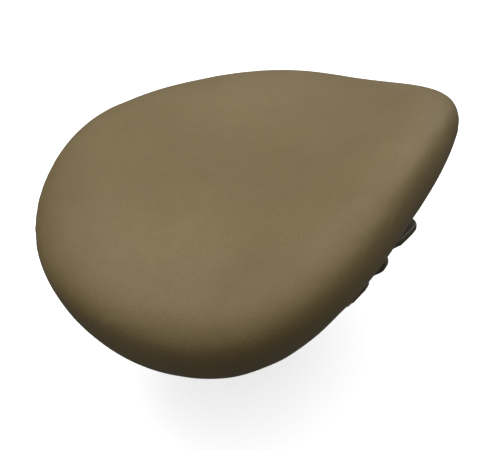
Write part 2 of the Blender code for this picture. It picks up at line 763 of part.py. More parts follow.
def make_cam_lever():
    """The hand lever: a forked eccentric head with a flat paddle blade."""
    stand = Matrix.Translation((barrel_x(), UPPER_AXLE_Y, UPPER_AXLE_Z))
    half = LEVER_HEAD_HEIGHT / 2
    soft = 0.0012
    profile = ((CAM_RADIUS - soft, -half), (CAM_RADIUS, -half + soft), (CAM_RADIUS, half - soft),
               (CAM_RADIUS - soft, half))
    head = turned("cam_head", profile, dark_plastic())
    place(head, stand @ Matrix.Translation((0, -CAM_THROW, 0)))
    thickness = LEVER_BLADE_THICKNESS / 2
    lever = extruded("cam_lever", lever_blade(), -thickness, thickness, dark_plastic())
    place(lever, stand)
    bevel(lever, 0.0013, 2)
    boolean(lever, head, "UNION")
    eye_room = AXLE_EYE_RADIUS + GAP
    eye_half = AXLE_EYE_HEIGHT / 2 + GAP
    room = turned("eye_room", ((eye_room, -eye_half), (eye_room, eye_half)), zinc())
    place(room, stand)
    boolean(lever, room, "DIFFERENCE")
    path = extruded("rod_room", rod_room_outline(), -ROD_TIP_RADIUS - GAP, ROD_TIP_RADIUS + GAP, zinc())
    place(path, stand)
    boolean(lever, path, "DIFFERENCE")
    cut = BARREL_RADIUS + GAP
    bore = turned("lever_bore", ((cut, -LEVER_HEAD_HEIGHT), (cut, LEVER_HEAD_HEIGHT)), zinc())
    place(bore, stand)
    boolean(lever, bore, "DIFFERENCE")
    pin_half = half - 0.0004
    pin = turned("barrel_pin", ((BARREL_RADIUS, -pin_half), (BARREL_RADIUS, pin_half)), zinc())
    place(pin, stand)


def rod_room_outline():
    """The fork's mouth: every place that the draw rod takes while the lever turns."""
    reach = 0.012
    half = ROD_TIP_RADIUS + GAP
    first = pi + FORK_FROM * pi / 180
    last = pi + FORK_TO * pi / 180
    near_first = Vector((half * sin(first), -half * cos(first)))
    near_last = Vector((-half * sin(last), half * cos(last)))
    far_first = near_first + reach * Vector((cos(first), sin(first)))
    far_last = near_last + reach * Vector((cos(last), sin(last)))
    mouth = arc_points((0, 0), hypot(reach, half), first, last, 8)
    return [tuple(near_first), tuple(far_first)] + mouth + [tuple(far_last), tuple(near_last)]


def make_lower_axle():
    """The shoulder bolt through the block's ears, with its lock nut and disc springs."""
    head = -EAR_OUTER - GAP
    thin = DISC_SPRING_THICKNESS
    spring_high = EAR_OUTER + GAP + 2 * thin + GAP
    nut_low = spring_high + GAP
    nut_high = nut_low + NUT_HEIGHT
    end = head - AXLE_HEAD_LENGTH
    profile = ((AXLE_HEAD_RADIUS * 0.8, end), (AXLE_HEAD_RADIUS, end + 0.001), (AXLE_HEAD_RADIUS, head),
               (AXLE_RADIUS, head), (AXLE_RADIUS, nut_high + 0.001))
    axle = turned("lower_axle", profile, zinc())
    place(axle, along_x(0, LOWER_AXLE_Y, LOWER_AXLE_Z))
    for number in (1, 2):
        base = EAR_OUTER + GAP + (number - 1) * (thin + GAP)
        ring = washer(f"disc_spring_{number}", AXLE_RADIUS + GAP, WASHER_RADIUS, base, base + thin, zinc())
        place(ring, along_x(0, LOWER_AXLE_Y, LOWER_AXLE_Z))
    profile = ((NUT_RADIUS - 0.0006, nut_low), (NUT_RADIUS, nut_low + 0.0006),
               (NUT_RADIUS, nut_high - 0.002), (NUT_RADIUS - 0.0008, nut_high))
    nut = turned("lock_nut", profile, zinc(), sides=6)
    place(nut, along_x(0, LOWER_AXLE_Y, LOWER_AXLE_Z))
    cut = AXLE_RADIUS + GAP
    bore = turned("nut_bore", ((cut, nut_low - 0.002), (cut, nut_high + 0.002)), zinc())
    place(bore, along_x(0, LOWER_AXLE_Y, LOWER_AXLE_Z))
    boolean(nut, bore, "DIFFERENCE")


# ---- link ----

def link_frame():
    """Length and angle of the link, and the place of its upper eye."""
    run = LOWER_AXLE_Y - UPPER_AXLE_Y
    drop = LOWER_AXLE_Z - UPPER_AXLE_Z
    return hypot(run, drop), atan2(drop, run)


def make_link_arm():
    """The cast link: two eyes on a web with a pocket in each side."""
    length, angle = link_frame()
    hook = 0.62
    points = arc_points((0, 0), EYE_RADIUS, hook, tau - hook, 16)
    neck = EYE_RADIUS * 1.75
    points += [(neck, -LINK_WEB_HALF), (length - neck, -LINK_WEB_HALF)]
    points += arc_points((length, 0), EYE_RADIUS, -pi + hook, pi - hook, 16)
    points += [(length - neck, LINK_WEB_HALF), (neck, LINK_WEB_HALF)]
    turn = Matrix.Translation((0, UPPER_AXLE_Y, UPPER_AXLE_Z)) @ Matrix.Rotation(angle, 4, "X")
    link = extruded("link_arm", points, -LINK_HALF, LINK_HALF, cast_aluminium())
    place(link, turn @ along_x(0, 0, 0))
    bevel(link, 0.0007)
    pocket_half = LINK_WEB_HALF - 0.0014
    for side in (-1, 1):
        plan = rounded_plate(length / 2 - 0.019, pocket_half, pocket_half * 0.8)
        outline = [(x + length / 2, y) for x, y in plan]
        low, high = sorted((side * (LINK_HALF - LINK_POCKET_DEPTH), side * (LINK_HALF + 0.002)))
        pocket = extruded(f"link_pocket_{side}", outline, low, high, cast_aluminium())
        place(pocket, turn @ along_x(0, 0, 0))
        boolean(link, pocket, "DIFFERENCE")
    bush_outer = AXLE_RADIUS + GAP + BUSH_WALL
    for name, at in (("upper", 0.0), ("lower", length)):
        bore = turned(f"link_bore_{name}", ((bush_outer + GAP, -0.02), (bush_outer + GAP, 0.02)), brass())
        place(bore, turn @ along_x(0, at, 0))
        boolean(link, bore, "DIFFERENCE")
        sleeve_half = LINK_HALF - GAP
        sleeve = washer(f"{name}_bush", AXLE_RADIUS + GAP, bush_outer, -sleeve_half, sleeve_half, brass())
        place(sleeve, turn @ along_x(0, at, 0))


# ---- clamp block ----

def gib_left():
    """The gib's face towards the bar, drawn back by its travel."""
    return BAR_WIDTH / 2 + 0.00035 + GIB_TRAVEL


def slot_right():
    """The slot ends just behind the drawn-back gib."""
    return gib_left() + GIB_THICKNESS + 0.0012


def block_right():
    return slot_right() + BLOCK_WALL


def screw_height():
    return -SLOT_HEIGHT / 2


def make_clamp_block():
    """The block that slides on the bar, with two ears for the lower axle."""
    left = -BAR_WIDTH / 2 - GAP - BLOCK_WALL
    half = BLOCK_LENGTH / 2
    block = box("clamp_block", (left, -half, -SLOT_HEIGHT - BLOCK_FLOOR), (block_right(), half, BLOCK_ROOF),
                cast_aluminium())
    bevel(block, 0.0014, 2)
    foot = BLOCK_ROOF - 0.002
    span = EYE_RADIUS + 0.005
    eye = (LOWER_AXLE_Y, LOWER_AXLE_Z)
    for side in (-1, 1):
        low, high = sorted((side * EAR_INNER, side * EAR_OUTER))
        outline = [(LOWER_AXLE_Y + span, foot)]
        outline += arc_points(eye, EYE_RADIUS, 0.0, pi, 14)
        outline += [(LOWER_AXLE_Y - span, foot)]
        ear = extruded(f"block_ear_{side}", outline, low, high, cast_aluminium())
        place(ear, along_x(0, 0, 0))
        boolean(block, ear, "UNION")
    past = half + 0.01
    slot_left = -BAR_WIDTH / 2 - GAP
    slot = box("bar_slot", (slot_left, -past, -SLOT_HEIGHT), (slot_right(), past, 0.0), cast_aluminium())
    boolean(block, slot, "DIFFERENCE")
    relief_left = BAR_WIDTH / 2 + GAP / 2
    relief = box("gib_relief", (relief_left, -past, -SLOT_HEIGHT / 2), (slot_right(), past, GIB_RELIEF),
                 cast_aluminium())
    boolean(block, relief, "DIFFERENCE")
    bore = turned("block_bore", ((AXLE_RADIUS + GAP, -0.03), (AXLE_RADIUS + GAP, 0.03)), zinc())
    place(bore, along_x(0, LOWER_AXLE_Y, LOWER_AXLE_Z))
    boolean(block, bore, "DIFFERENCE")
    insert_outer = CLAMP_SCREW_RADIUS + GAP + INSERT_WALL
    seat = turned("insert_seat", ((insert_outer + GAP, slot_right() - 0.002),
                                  (insert_outer + GAP, block_right() + 0.002)), brass())
    place(seat, along_x(0, 0, screw_height()))
    boolean(block, seat, "DIFFERENCE")
    sleeve = washer("thread_insert", CLAMP_SCREW_RADIUS + GAP, insert_outer, slot_right() + GAP,
                    block_right() - GAP, brass())
    place(sleeve, along_x(0, 0, screw_height()))


def make_gib():
    """The plate that presses on the bar's edge, with a socket for the screw's tip."""
    half = GIB_LENGTH / 2
    back = gib_left() + GIB_THICKNESS
    gib = box("gib_plate", (gib_left(), -half, -SLOT_HEIGHT + GAP), (back, half, -GAP), zinc())
    socket = turned("gib_socket", ((CLAMP_SCREW_RADIUS + GAP, back - SOCKET_DEPTH),
                                   (CLAMP_SCREW_RADIUS + GAP, back + 0.002)), zinc())
    place(socket, along_x(0, 0, screw_height()))
    boolean(gib, socket, "DIFFERENCE")


def knob_outline():
    """A round knob with shallow finger scallops."""
    points = []
    sides = KNOB_LOBES * 10
    for step in range(sides):
        angle = tau * step / sides
        radius = KNOB_RADIUS - KNOB_LOBE_DEPTH * (0.5 - 0.5 * cos(KNOB_LOBES * angle)) ** 1.5
        points.append((radius * cos(angle), radius * sin(angle)))
    return points


def make_knob():
    """The scalloped knob, its screw and the cap over the screw's end."""
    low = block_right() + KNOB_STANDOFF
    high = low + KNOB_THICKNESS
    knob = extruded("clamp_knob", knob_outline(), 0, KNOB_THICKNESS, black_plastic())
    place(knob, along_x(low, 0, screw_height()))
    bevel(knob, 0.0010)
    cut = CLAMP_SCREW_RADIUS + GAP
    bore = turned("knob_bore", ((cut, -0.002), (cut, KNOB_THICKNESS + 0.002)), zinc())
    place(bore, along_x(low, 0, screw_height()))
    boolean(knob, bore, "DIFFERENCE")
    cap_depth = 0.002
    wall = CAP_RADIUS + GAP
    well = turned("knob_well", ((wall, KNOB_THICKNESS - cap_depth), (wall, KNOB_THICKNESS + 0.002)), zinc())
    place(well, along_x(low, 0, screw_height()))
    boolean(knob, well, "DIFFERENCE")
    cap = turned("knob_cap", ((CAP_RADIUS, high - cap_depth + GAP), (CAP_RADIUS, high - 0.0002),
                              (CAP_RADIUS * 0.8, high + 0.0004)), zinc())
    place(cap, along_x(0, 0, screw_height()))
    tip = gib_left() + GIB_THICKNESS - SOCKET_DEPTH + GAP
    screw = turned("clamp_screw", ((CLAMP_SCREW_RADIUS - 0.0005, tip), (CLAMP_SCREW_RADIUS, tip + 0.0005),
                                   (CLAMP_SCREW_RADIUS, high - cap_depth - GAP)), zinc())
    place(screw, along_x(0, 0, screw_height()))


# ---- joint axes ----

BASE = None
JOINTS = (
    ("arm_swing_axis", BASE, ("link_arm", "upper_bush", "lower_bush", "upper_washer_1", "upper_washer_2")),
    ("head_tilt_axis", "arm_swing_axis",
     ("cover", "foam_core", "backing_pan", "edge_bead", "breather_vent", "bracket", "stop_bumper",
      "upper_axle", "wave_spring", *(f"t_nut_{number}" for number in range(1, 5)),
      *(f"bracket_screw_{number}" for number in range(1, 5)))),
    ("lever_turn_axis", "head_tilt_axis", ("cam_lever", "barrel_pin")),
    ("cam_press_axis", "head_tilt_axis", ("cam_washer",)),
    ("gib_slide_axis", BASE, ("gib_plate",)),
    ("knob_turn_axis", "gib_slide_axis", ("clamp_knob", "clamp_screw", "knob_cap")),
)


def axis_places():
    """Where each joint's axis passes."""
    return {
        "arm_swing_axis": (0, LOWER_AXLE_Y, LOWER_AXLE_Z),
        "head_tilt_axis": (0, UPPER_AXLE_Y, UPPER_AXLE_Z),
        "lever_turn_axis": (barrel_x(), UPPER_AXLE_Y, UPPER_AXLE_Z),
        "cam_press_axis": (EAR_OUTER + CAM_WASHER_GAP, UPPER_AXLE_Y, UPPER_AXLE_Z),
        "gib_slide_axis": (gib_left(), 0, screw_height()),
        "knob_turn_axis": (block_right(), 0, screw_height()),
    }


def add_joint_axes():
    """Parents each moving piece to an empty on its joint's axis."""
    places = axis_places()
    for name, parent, members in JOINTS:
        axis = bpy.data.objects.new(name, None)
        bpy.context.scene.collection.objects.link(axis)
        axis.empty_display_size = EYE_RADIUS
        origin = places[parent] if parent else (0, 0, 0)
        axis.parent = bpy.data.objects[parent] if parent else None
        axis.location = Vector(places[name]) - Vector(origin)
        for member in members:
            piece = bpy.data.objects[member]
            piece.parent = axis
            piece.matrix_parent_inverse = Matrix.Translation(-Vector(places[name]))


def clear_scene():
    for existing in list(bpy.data.objects):
        bpy.data.objects.remove(existing)


def main():
    clear_scene()
    make_cover()
    make_foam_core()
    make_backing_pan()
    make_edge_bead()
    make_breather_vent()
    make_bracket()
    make_bracket_fasteners()
    make_stop_bumper()
    make_upper_axle()
    make_friction_washers("upper", UPPER_AXLE_Y, UPPER_AXLE_Z)
    make_wave_spring()
    make_cam_washer()
    make_cam_lever()
    make_link_arm()
    make_clamp_block()
    make_lower_axle()
    make_friction_washers("lower", LOWER_AXLE_Y, LOWER_AXLE_Z)
    make_gib()
    make_knob()
    add_joint_axes()


main()
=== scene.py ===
"""A head cradle cushion: its soft moulded skin, and the finishes of its hinge and bar clamp.

Run as a script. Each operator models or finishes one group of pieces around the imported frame.
Frame: metres, +Z up, +X to the cushion's right, -Y at its neck edge.
"""

from math import cos, pi, radians, sin, tau

import bmesh
import bpy
from bpy.props import FloatProperty, FloatVectorProperty, PointerProperty
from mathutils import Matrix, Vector


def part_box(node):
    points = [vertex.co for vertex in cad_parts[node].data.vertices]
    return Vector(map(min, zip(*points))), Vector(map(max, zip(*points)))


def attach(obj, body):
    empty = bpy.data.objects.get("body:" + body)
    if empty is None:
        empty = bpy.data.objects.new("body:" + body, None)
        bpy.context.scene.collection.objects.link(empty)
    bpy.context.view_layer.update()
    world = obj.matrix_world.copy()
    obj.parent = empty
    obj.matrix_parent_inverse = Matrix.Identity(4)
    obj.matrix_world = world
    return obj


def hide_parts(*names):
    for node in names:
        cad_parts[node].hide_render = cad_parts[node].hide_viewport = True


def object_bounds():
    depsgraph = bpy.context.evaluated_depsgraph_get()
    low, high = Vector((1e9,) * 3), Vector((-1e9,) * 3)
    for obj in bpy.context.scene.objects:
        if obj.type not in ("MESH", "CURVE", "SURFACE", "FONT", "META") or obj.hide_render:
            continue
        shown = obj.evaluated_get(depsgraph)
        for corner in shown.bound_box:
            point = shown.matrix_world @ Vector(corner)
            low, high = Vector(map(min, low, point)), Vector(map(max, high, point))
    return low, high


bl_info = {
    "name": "Head cradle cushion",
    "version": (1, 0, 0),
    "blender": (4, 5, 0),
    "location": "3D View > Sidebar > Head Cradle",
    "description": "Models the cushion's skin and finishes the hinge, lever and bar clamp under it",
    "category": "Object",
}

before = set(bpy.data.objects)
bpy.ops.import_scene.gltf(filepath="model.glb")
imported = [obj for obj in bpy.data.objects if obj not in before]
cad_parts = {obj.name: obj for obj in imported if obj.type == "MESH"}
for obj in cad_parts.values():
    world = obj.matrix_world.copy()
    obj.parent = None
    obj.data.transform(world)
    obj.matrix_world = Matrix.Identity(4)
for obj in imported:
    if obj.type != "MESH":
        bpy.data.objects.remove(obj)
CAD_LOW, CAD_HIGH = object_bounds()
SKIN_LOW, SKIN_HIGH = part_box("cover")

# ---- the cushion's surface, as the frame has it ----
NECK_FULLNESS = 2.93
CROWN_FULLNESS = 2.03
NECK_RISE_POWER = 3.11
CROWN_RISE_POWER = 2.23
SIDE_RISE_POWER = 3.5
SIDE_RISE_LEAN = 0.377
TOP_LEAN = -0.083
TOP_SIDE_THIN = -0.066
BELOW_LEAN = 0.415
TOP_EDGE_POWER = 3.76
TOP_EDGE_ROUND = 1.81
BELOW_EDGE_POWER = 5.4
BELOW_EDGE_ROUND = 1.27
EDGE_FOLLOW = 0.957
PAN_LIFT = 0.0110
PAN_FLAT_DEPTH = 0.0268
PAN_THICKNESS = 0.003
ROOF_CLEARANCE = 0.001      # cushion above the pan
TUCK_TOP = 0.8              # share of the pan's rim that the turned-in skin covers

# ---- how finely the cushion is made ----
GUIDE_SIDES = 180
GUIDE_TOP_RINGS = 48
GUIDE_SIDE_RINGS = 22
GUIDE_ROOF_RINGS = 12
TUCK_CURVE = 1.6            # how the guide's rings gather towards the lip
SETTLE_FRAMES = 20

# ---- how the skin settles and is drawn taut ----
SKIN_MASS = 0.3
SKIN_STRETCH = 15
SKIN_SHEAR = 5
SKIN_BENDING = 0.5
LIP_DEPTH = 0.030           # the skin is held this far below its rolled edge, and lower
LIP_FADE = 0.012            # height over which it comes free
TAUT_FACTOR = 0.5
TAUT_PASSES = 10

# ---- the room, in metres ----
FLOOR_SIZE = 12.0
FLOOR_DROP = 0.0005
KEY_SIZE = 0.9
SIDE_LIGHT_SIZE = 0.8
RIM_SHARE = 0.35            # rim and fill lights, as shares of the key's power
FILL_SHARE = 0.15
HORIZON_LOW = -0.25         # the room brightens between these heights
HORIZON_HIGH = 0.85


# ---- sizes and colours that a user would change ----

class CushionSizes(bpy.types.PropertyGroup):
    """The cushion's overall sizes and how its skin settles on the foam."""
    width: FloatProperty(name="Width", description="Side to side", unit="LENGTH", subtype="DISTANCE",
                         default=SKIN_HIGH.x - SKIN_LOW.x)
    neck_reach: FloatProperty(name="Neck reach", description="Middle to the neck edge", unit="LENGTH",
                              subtype="DISTANCE", default=0.0933)
    crown_reach: FloatProperty(name="Crown reach", description="Middle to the crown edge", unit="LENGTH",
                               subtype="DISTANCE", default=0.1242)
    top_padding: FloatProperty(name="Top padding", description="Padding above the mid surface",
                               unit="LENGTH", subtype="DISTANCE", default=0.0469)
    lower_padding: FloatProperty(name="Lower padding", description="Padding below the mid surface",
                                 unit="LENGTH", subtype="DISTANCE", default=0.0388)
    neck_rise: FloatProperty(name="Neck rise", description="How far the neck edge turns up",
                             unit="LENGTH", subtype="DISTANCE", default=0.0575)
    neck_rise_start: FloatProperty(name="Neck rise start", description="Where the neck's rise begins",
                                   unit="LENGTH", subtype="DISTANCE", default=0.0351)
    crown_rise: FloatProperty(name="Crown rise", description="How far the crown edge turns up",
                              unit="LENGTH", subtype="DISTANCE", default=0.0280)
    side_rise: FloatProperty(name="Side rise", description="How far the sides turn up",
                             unit="LENGTH", subtype="DISTANCE", default=0.0209)
    lip_share: FloatProperty(name="Lip", description="Share of the outline that the skin turns in to",
                             subtype="FACTOR", default=0.76)
    cell: FloatProperty(name="Mesh size", description="Size of the skin's faces before smoothing",
                        unit="LENGTH", subtype="DISTANCE", default=0.004)
    shrink: FloatProperty(name="Slack", description="How far inside its final place the skin starts",
                          unit="LENGTH", subtype="DISTANCE", default=0.0004)
    swell: FloatProperty(name="Swell", description="The furthest that the foam pushes the skin out",
                         unit="LENGTH", subtype="DISTANCE", default=0.0012)
    pressure: FloatProperty(name="Foam pressure", description="Pressure of the foam on the skin", default=4.0)


class SkinFinish(bpy.types.PropertyGroup):
    """The seamless skin's colour and grain."""
    colour: FloatVectorProperty(name="Colour", description="The skin's main colour", subtype="COLOR",
                                size=3, min=0, max=1, default=(0.172, 0.124, 0.047))
    light: FloatVectorProperty(name="Light mottle", description="Paler clouds in the colour",
                               subtype="COLOR", size=3, min=0, max=1, default=(0.190, 0.139, 0.057))
    dark: FloatVectorProperty(name="Dark mottle", description="Darker clouds in the colour",
                              subtype="COLOR", size=3, min=0, max=1, default=(0.154, 0.109, 0.039))
    grain: FloatProperty(name="Grain size", description="Width of one grain of the skin", unit="LENGTH",
                         subtype="DISTANCE", default=0.0013)
    roughness: FloatProperty(name="Roughness", description="How matt the skin is", subtype="FACTOR",
                             default=0.56)


class HardwareFinish(bpy.types.PropertyGroup):
    """Colours of the parts under the cushion."""
    lever: FloatVectorProperty(name="Lever", description="Dark moulded plastic", subtype="COLOR",
                               size=3, min=0, max=1, default=(0.050, 0.042, 0.020))
    plastic: FloatVectorProperty(name="Pan and knob", description="Black moulded plastic", subtype="COLOR",
                                 size=3, min=0, max=1, default=(0.020, 0.019, 0.018))
    paint: FloatVectorProperty(name="Bracket paint", description="Powder coat", subtype="COLOR",
                               size=3, min=0, max=1, default=(0.100, 0.078, 0.042))
    zinc: FloatVectorProperty(name="Plated steel", description="Zinc plate", subtype="COLOR",
                              size=3, min=0, max=1, default=(0.56, 0.56, 0.54))
    cast: FloatVectorProperty(name="Cast metal", description="Tumbled cast aluminium", subtype="COLOR",
                              size=3, min=0, max=1, default=(0.48, 0.48, 0.47))
    brass: FloatVectorProperty(name="Brass", description="Bushes and insert", subtype="COLOR",
                               size=3, min=0, max=1, default=(0.62, 0.45, 0.18))
    nylon: FloatVectorProperty(name="Nylon", description="Friction washers", subtype="COLOR",
                               size=3, min=0, max=1, default=(0.66, 0.63, 0.54))
    rubber: FloatVectorProperty(name="Rubber", description="Bead and buffer", subtype="COLOR",
                                size=3, min=0, max=1, default=(0.024, 0.022, 0.020))


class StageSettings(bpy.types.PropertyGroup):
    """Camera, lights and floor."""
    azimuth: FloatProperty(name="Azimuth", description="Direction that the camera stands in",
                           subtype="ANGLE", default=radians(-65.76))
    elevation: FloatProperty(name="Elevation", description="Camera's height above the horizon",
                             subtype="ANGLE", default=radians(35.24))
    distance: FloatProperty(name="Distance", description="Camera to the cushion's middle", unit="LENGTH",
                            subtype="DISTANCE", default=0.9209)
    lens: FloatProperty(name="Lens", description="Focal length in millimetres", default=116.5)
    shift_x: FloatProperty(name="Shift X", description="Sideways shift of the view", default=-0.0306)
    shift_y: FloatProperty(name="Shift Y", description="Upward shift of the view", default=0.0186)
    sky: FloatProperty(name="Sky", description="Brightness of the room above", default=0.92)
    ground: FloatProperty(name="Ground", description="Brightness of the room below", default=0.08)
    key: FloatProperty(name="Key light", description="Power of the large upper light, in watts",
                       default=5.6)
    floor: FloatVectorProperty(name="Floor", description="The floor's colour", subtype="COLOR",
                               size=3, min=0, max=1, default=(0.93, 0.93, 0.93))
    floor_glow: FloatProperty(name="Floor glow", description="Light of the floor's own, which thins shadows",
                              default=0.6)


class HeadCradleSettings(bpy.types.PropertyGroup):
    """All settings of the head cradle."""
    cushion: PointerProperty(type=CushionSizes, name="Cushion", description="Cushion sizes")
    skin: PointerProperty(type=SkinFinish, name="Skin", description="Skin colour and grain")
    hardware: PointerProperty(type=HardwareFinish, name="Hardware", description="Hardware colours")
    stage: PointerProperty(type=StageSettings, name="Stage", description="Camera, lights and floor")


# ---- modelling helpers ----

def select_only(piece):
    """Selects and activates one piece, with nothing else selected."""
    if bpy.context.mode != "OBJECT":
        bpy.ops.object.mode_set(mode="OBJECT")
    bpy.ops.object.select_all(action="DESELECT")
    piece.select_set(True)
    bpy.context.view_layer.objects.active = piece


def keep_modifiers(piece):
    """Makes all of a piece's modifiers part of its mesh."""
    select_only(piece)
    for step in list(piece.modifiers):
        bpy.ops.object.modifier_apply(modifier=step.name)


# ---- node helpers ----

class Finish:
    """A material with one Principled shader, and short ways to add to it."""

    def __init__(self, name, colour, roughness, metallic=0.0):
        self.look = bpy.data.materials.new(name)
        self.look.use_nodes = True
        self.look.diffuse_color = (*colour, 1)
        self.tree = self.look.node_tree
        self.shader = self.tree.nodes["Principled BSDF"]
        self.set("Base Color", (*colour, 1))
        self.set("Roughness", roughness)
        self.set("Metallic", metallic)
        self.place = self.node("ShaderNodeTexCoord").outputs["Object"]

    def node(self, kind, **values):
        made = self.tree.nodes.new(kind)
        for name, value in values.items():
            setattr(made, name, value)
        return made

    def set(self, socket, value):
        self.shader.inputs[socket].default_value = value

    def join(self, output, socket):
        self.tree.links.new(output, socket)

    def stretched(self, scale):
        """The place, stretched by an amount along each axis."""
        mapping = self.node("ShaderNodeMapping")
        mapping.inputs["Scale"].default_value = scale
        self.join(self.place, mapping.inputs["Vector"])
        return mapping.outputs["Vector"]

    def noise(self, scale, detail=3.0, rough=0.5, place=None):
        made = self.node("ShaderNodeTexNoise")
        made.inputs["Scale"].default_value = scale
        made.inputs["Detail"].default_value = detail
        made.inputs["Roughness"].default_value = rough
        self.join(place or self.place, made.inputs["Vector"])
        return made.outputs["Fac"]

    def cells(self, scale, feature="F1", place=None):
        made = self.node("ShaderNodeTexVoronoi", feature=feature)
        made.inputs["Scale"].default_value = scale
        self.join(place or self.place, made.inputs["Vector"])
        return made.outputs["Distance"]

    def spread(self, value, from_low, from_high, to_low=0.0, to_high=1.0):
        """A value moved from one range to another, and kept inside it."""
        made = self.node("ShaderNodeMapRange")
        made.inputs["From Min"].default_value = from_low
        made.inputs["From Max"].default_value = from_high
        made.inputs["To Min"].default_value = to_low
        made.inputs["To Max"].default_value = to_high
        self.join(value, made.inputs["Value"])
        return made.outputs["Result"]

    def maths(self, operation, first, second):
        made = self.node("ShaderNodeMath", operation=operation)
        for socket, value in zip(made.inputs, (first, second)):
            if isinstance(value, (int, float)):
                socket.default_value = value
            else:
                self.join(value, socket)
        return made.outputs["Value"]

    def blend(self, share, first, second, kind="MIX"):
        """Two colours, mixed by a share."""
        made = self.node("ShaderNodeMix", data_type="RGBA", blend_type=kind)
        self.put(share, made.inputs[0])
        self.put(first, made.inputs[6])
        self.put(second, made.inputs[7])
        return made.outputs[2]

    def put(self, value, socket):
        """A number, a colour or another node's output, into a socket."""
        if isinstance(value, bpy.types.NodeSocket):
            self.join(value, socket)
        elif isinstance(value, (int, float)):
            socket.default_value = value
        else:
            socket.default_value = (*value, 1)

    def bump(self, height, strength, depth, under=None):
        made = self.node("ShaderNodeBump")
        made.inputs["Strength"].default_value = strength
        made.inputs["Distance"].default_value = depth
        self.join(height, made.inputs["Height"])
        if under:
            self.join(under, made.inputs["Normal"])
        return made.outputs["Normal"]

    def wire(self, colour=None, roughness=None, normal=None):
        """Joins what was made to the shader."""
        for output, socket in ((colour, "Base Color"), (roughness, "Roughness"), (normal, "Normal")):
            if output:
                self.join(output, self.shader.inputs[socket])
        return self.look


def shaded(colour, factor):
    """A colour made lighter or darker."""
    return tuple(min(1.0, channel * factor) for channel in colour)


# ---- finishes ----

def skin_finish(settings):
    """Seamless upholstery skin: fine pebbled grain with painted shade in its creases, soft mottle, low sheen.
    """
    finish = Finish("cradle_skin", settings.colour, settings.roughness)
    clouds = finish.noise(11.0, 4.0, 0.55)
    fine_clouds = finish.noise(95.0, 5.0, 0.6)
    base = finish.blend(finish.spread(clouds, 0.35, 0.65), settings.dark, settings.light)
    base = finish.blend(finish.spread(fine_clouds, 0.42, 0.72, 0.0, 0.55), base, settings.colour)
    pebbles = finish.cells(1 / settings.grain)
    # painted shade: the grain's creases are darkened in the skin's colour
    crease_shade = finish.spread(pebbles, 0.25, 0.75)
    fleck = finish.noise(900.0, 2.0, 0.6)
    base = finish.blend(finish.maths("MULTIPLY", crease_shade, 0.35), base, shaded(settings.dark, 0.78))
    base = finish.blend(finish.spread(fleck, 0.55, 0.75, 0.0, 0.25), base, shaded(settings.light, 1.22))
    worn = finish.noise(28.0, 3.0, 0.5)
    rough = finish.maths("ADD", finish.spread(worn, 0.3, 0.7, -0.05, 0.05),
                         finish.spread(fleck, 0.3, 0.7, settings.roughness - 0.05, settings.roughness + 0.05))
    soft = finish.bump(finish.noise(16.0, 3.0, 0.5), 0.35, 0.0012)
    grain = finish.bump(finish.maths("SUBTRACT", 1.0, pebbles), 0.30, 0.00022, soft)
    fine = finish.bump(finish.noise(1500.0, 3.0, 0.6), 0.16, 0.00012, grain)
    finish.set("Sheen Weight", 0.03)
    finish.set("Sheen Roughness", 0.45)
    finish.set("Specular IOR Level", 0.36)
    return finish.wire(base, rough, fine)


def plastic_finish(name, colour, roughness, texture):
    """Moulded plastic with a spark-eroded texture and faint wear."""
    finish = Finish(name, colour, roughness)
    dust = finish.noise(60.0, 4.0, 0.6)
    speck = finish.noise(1600.0, 3.0, 0.6)
    base = finish.blend(finish.spread(dust, 0.40, 0.75, 0.0, 0.5), colour, shaded(colour, 1.7))
    base = finish.blend(finish.spread(speck, 0.58, 0.72, 0.0, 0.35), base, shaded(colour, 2.2))
    rough = finish.spread(finish.noise(140.0, 4.0, 0.6), 0.3, 0.7, roughness - 0.08, roughness + 0.08)
    eroded = finish.bump(finish.noise(texture, 3.0, 0.6), 0.35, 0.00012)
    return finish.wire(base, rough, eroded)


def paint_finish(settings):
    """Powder coat: orange peel over steel, rubbed a little where it is handled."""
    finish = Finish("bracket_paint", settings.paint, 0.42)
    peel = finish.cells(850.0, "SMOOTH_F1")
    wear = finish.noise(150.0, 6.0, 0.7)
    base = finish.blend(finish.spread(wear, 0.52, 0.80, 0.0, 0.6), settings.paint,
                        shaded(settings.paint, 1.8))
    rough = finish.spread(wear, 0.3, 0.75, 0.36, 0.52)
    return finish.wire(base, rough, finish.bump(peel, 0.30, 0.00018))


def plated_finish(settings):
    """Zinc plate: clear passivate with a faint straw tint, and fine turning marks."""
    finish = Finish("zinc_plate", settings.zinc, 0.34, 1.0)
    tint = finish.noise(220.0, 3.0, 0.5)
    base = finish.blend(finish.spread(tint, 0.35, 0.7), settings.zinc, (0.60, 0.57, 0.47))
    marks = finish.noise(2400.0, 2.0, 0.5, finish.stretched((4.0, 1.0, 1.0)))
    rough = finish.spread(marks, 0.3, 0.7, 0.26, 0.44)
    return finish.wire(base, rough, finish.bump(marks, 0.12, 0.00005))


def cast_finish(settings):
    """Tumbled casting: grainy, with darker stains in random patches."""
    finish = Finish("cast_aluminium_finish", settings.cast, 0.46, 1.0)
    grain = finish.noise(900.0, 6.0, 0.7)
    stain = finish.noise(70.0, 4.0, 0.6)
    base = finish.blend(finish.spread(stain, 0.35, 0.75), settings.cast, shaded(settings.cast, 0.72))
    rough = finish.spread(grain, 0.3, 0.7, 0.38, 0.60)
    return finish.wire(base, rough, finish.bump(grain, 0.40, 0.00015))


def brass_finish(settings):
    """Machined brass, a little dulled."""
    finish = Finish("dull_brass", settings.brass, 0.32, 1.0)
    dull = finish.noise(320.0, 4.0, 0.6)
    base = finish.blend(finish.spread(dull, 0.4, 0.75), settings.brass, shaded(settings.brass, 0.6))
    return finish.wire(base, finish.spread(dull, 0.3, 0.7, 0.26, 0.42),
                       finish.bump(finish.noise(2600.0, 2.0), 0.1, 0.00004))


